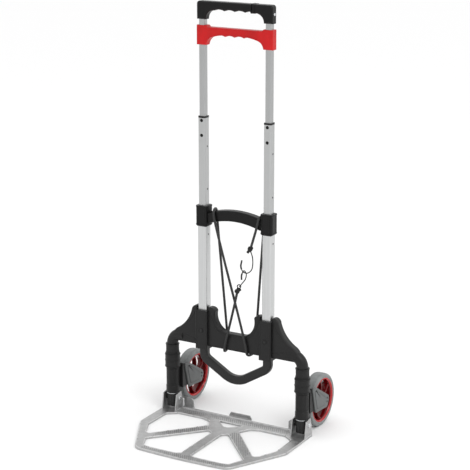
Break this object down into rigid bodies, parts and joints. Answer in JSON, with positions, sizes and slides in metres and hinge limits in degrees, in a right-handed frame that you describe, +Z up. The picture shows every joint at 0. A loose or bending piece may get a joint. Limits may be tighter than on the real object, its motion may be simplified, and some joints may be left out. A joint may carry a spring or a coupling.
{
  "type": "folding hand truck",
  "caption": "Folding hand truck with telescoping handle, fold-up toe plate, swing-in wheels and a bungee cord.",
  "frame": {"origin": "on the floor, under the middle of the truck's footprint (toe plate down, handle drawn out)", "axes": "+X to the right, +Y to the rear where the wheels trail, +Z up along the uprights"},
  "size_m": [0.4082, 0.422, 1.03],
  "materials": {
    "aluminium_tube": "satin anodised extrusion",
    "aluminium_plate": "satin pressed sheet",
    "black_plastic": "satin moulded",
    "grey_plastic": "satin moulded",
    "red_plastic": "satin moulded",
    "red_gloss_plastic": "gloss moulded",
    "grey_tyre": "matt",
    "black_steel": "satin powder coat",
    "bright_steel": "bright zinc",
    "black_cord": "woven sheath"
  },
  "bodies": {
    "frame": {"outer_tube_left": "aluminium_tube", "outer_tube_right": "aluminium_tube", "swivel_post_left": "black_steel", "swivel_post_right": "black_steel", "thrust_washer_left": "bright_steel", "thrust_washer_right": "bright_steel", "post_collar_left": "black_plastic", "post_collar_right": "black_plastic", "upper_crosspiece": "black_plastic", "lower_crosspiece": "black_plastic", "crosspiece_screws": "black_steel", "lower_v_bar": "black_steel", "bungee_cord": "black_cord", "cord_knots": "black_cord", "cord_hook_upper": "black_steel", "cord_hook_lower": "black_steel"},
    "middle_stage": {"middle_tube_left": "aluminium_tube", "middle_tube_right": "aluminium_tube", "tube_ring_left": "black_plastic", "tube_ring_right": "black_plastic", "ring_studs": "black_plastic", "middle_guides": "black_plastic"},
    "handle_stage": {"inner_tube_left": "aluminium_tube", "inner_tube_right": "aluminium_tube", "inner_guides": "black_plastic", "hand_grip": "black_plastic", "grip_screws": "bright_steel"},
    "release": {"release_bar": "red_plastic", "release_rods": "bright_steel", "release_cross_pins": "bright_steel"},
    "lock": {"lock_pins": "black_steel"},
    "plate": {"toe_plate": "aluminium_plate", "plate_pin_left": "bright_steel", "plate_pin_right": "bright_steel"},
    "fork_left": {"fork_bracket_left": "black_plastic", "fork_cover_outer_left": "grey_plastic", "fork_cover_inner_left": "grey_plastic", "wheel_axle_left": "bright_steel"},
    "fork_right": {"fork_bracket_right": "black_plastic", "fork_cover_outer_right": "grey_plastic", "fork_cover_inner_right": "grey_plastic", "wheel_axle_right": "bright_steel"},
    "wheel_left": {"wheel_rim_left": "red_gloss_plastic", "wheel_tyre_left": "grey_tyre", "wheel_bush_left": "black_plastic"},
    "wheel_right": {"wheel_rim_right": "red_gloss_plastic", "wheel_tyre_right": "grey_tyre", "wheel_bush_right": "black_plastic"}
  },
  "joints": [
    {"name": "middle_stage_slide", "type": "slide", "parent": "frame", "child": "middle_stage", "axis": [0, 0, -1], "range_m": [0, 0.205]},
    {"name": "handle_stage_slide", "type": "slide", "parent": "middle_stage", "child": "handle_stage", "axis": [0, 0, -1], "range_m": [0, 0.165]},
    {"name": "release_pull", "type": "slide", "parent": "handle_stage", "child": "release", "axis": [0, 0, 1], "range_m": [0, 0.012], "stiffness_N_per_m": 1200, "springref_m": -0.006},
    {"name": "lock_pin_draw", "type": "slide", "parent": "handle_stage", "child": "lock", "axis": [0, 1, 0], "range_m": [0, 0.002]},
    {"name": "plate_fold", "type": "hinge", "parent": "frame", "child": "plate", "pos_m": [0, 0.057, 0.032], "axis": [-1, 0, 0], "range_deg": [0, 90]},
    {"name": "fork_left_swing", "type": "hinge", "parent": "frame", "child": "fork_left", "pos_m": [-0.182, 0.057, 0.1], "axis": [0, 0, -1], "range_deg": [0, 90]},
    {"name": "fork_right_swing", "type": "hinge", "parent": "frame", "child": "fork_right", "pos_m": [0.182, 0.057, 0.1], "axis": [0, 0, 1], "range_deg": [0, 90]},
    {"name": "wheel_left_spin", "type": "hinge", "parent": "fork_left", "child": "wheel_left", "pos_m": [-0.179, 0.145, 0.066], "axis": [1, 0, 0], "continuous": true},
    {"name": "wheel_right_spin", "type": "hinge", "parent": "fork_right", "child": "wheel_right", "pos_m": [0.179, 0.145, 0.066], "axis": [1, 0, 0], "continuous": true}
  ],
  "couplings": [
    {"joint": "lock_pin_draw", "follows": "release_pull", "ratio": 0.16667},
    {"joint": "fork_left_swing", "follows": "plate_fold", "ratio": 1},
    {"joint": "fork_right_swing", "follows": "plate_fold", "ratio": 1}
  ]
}
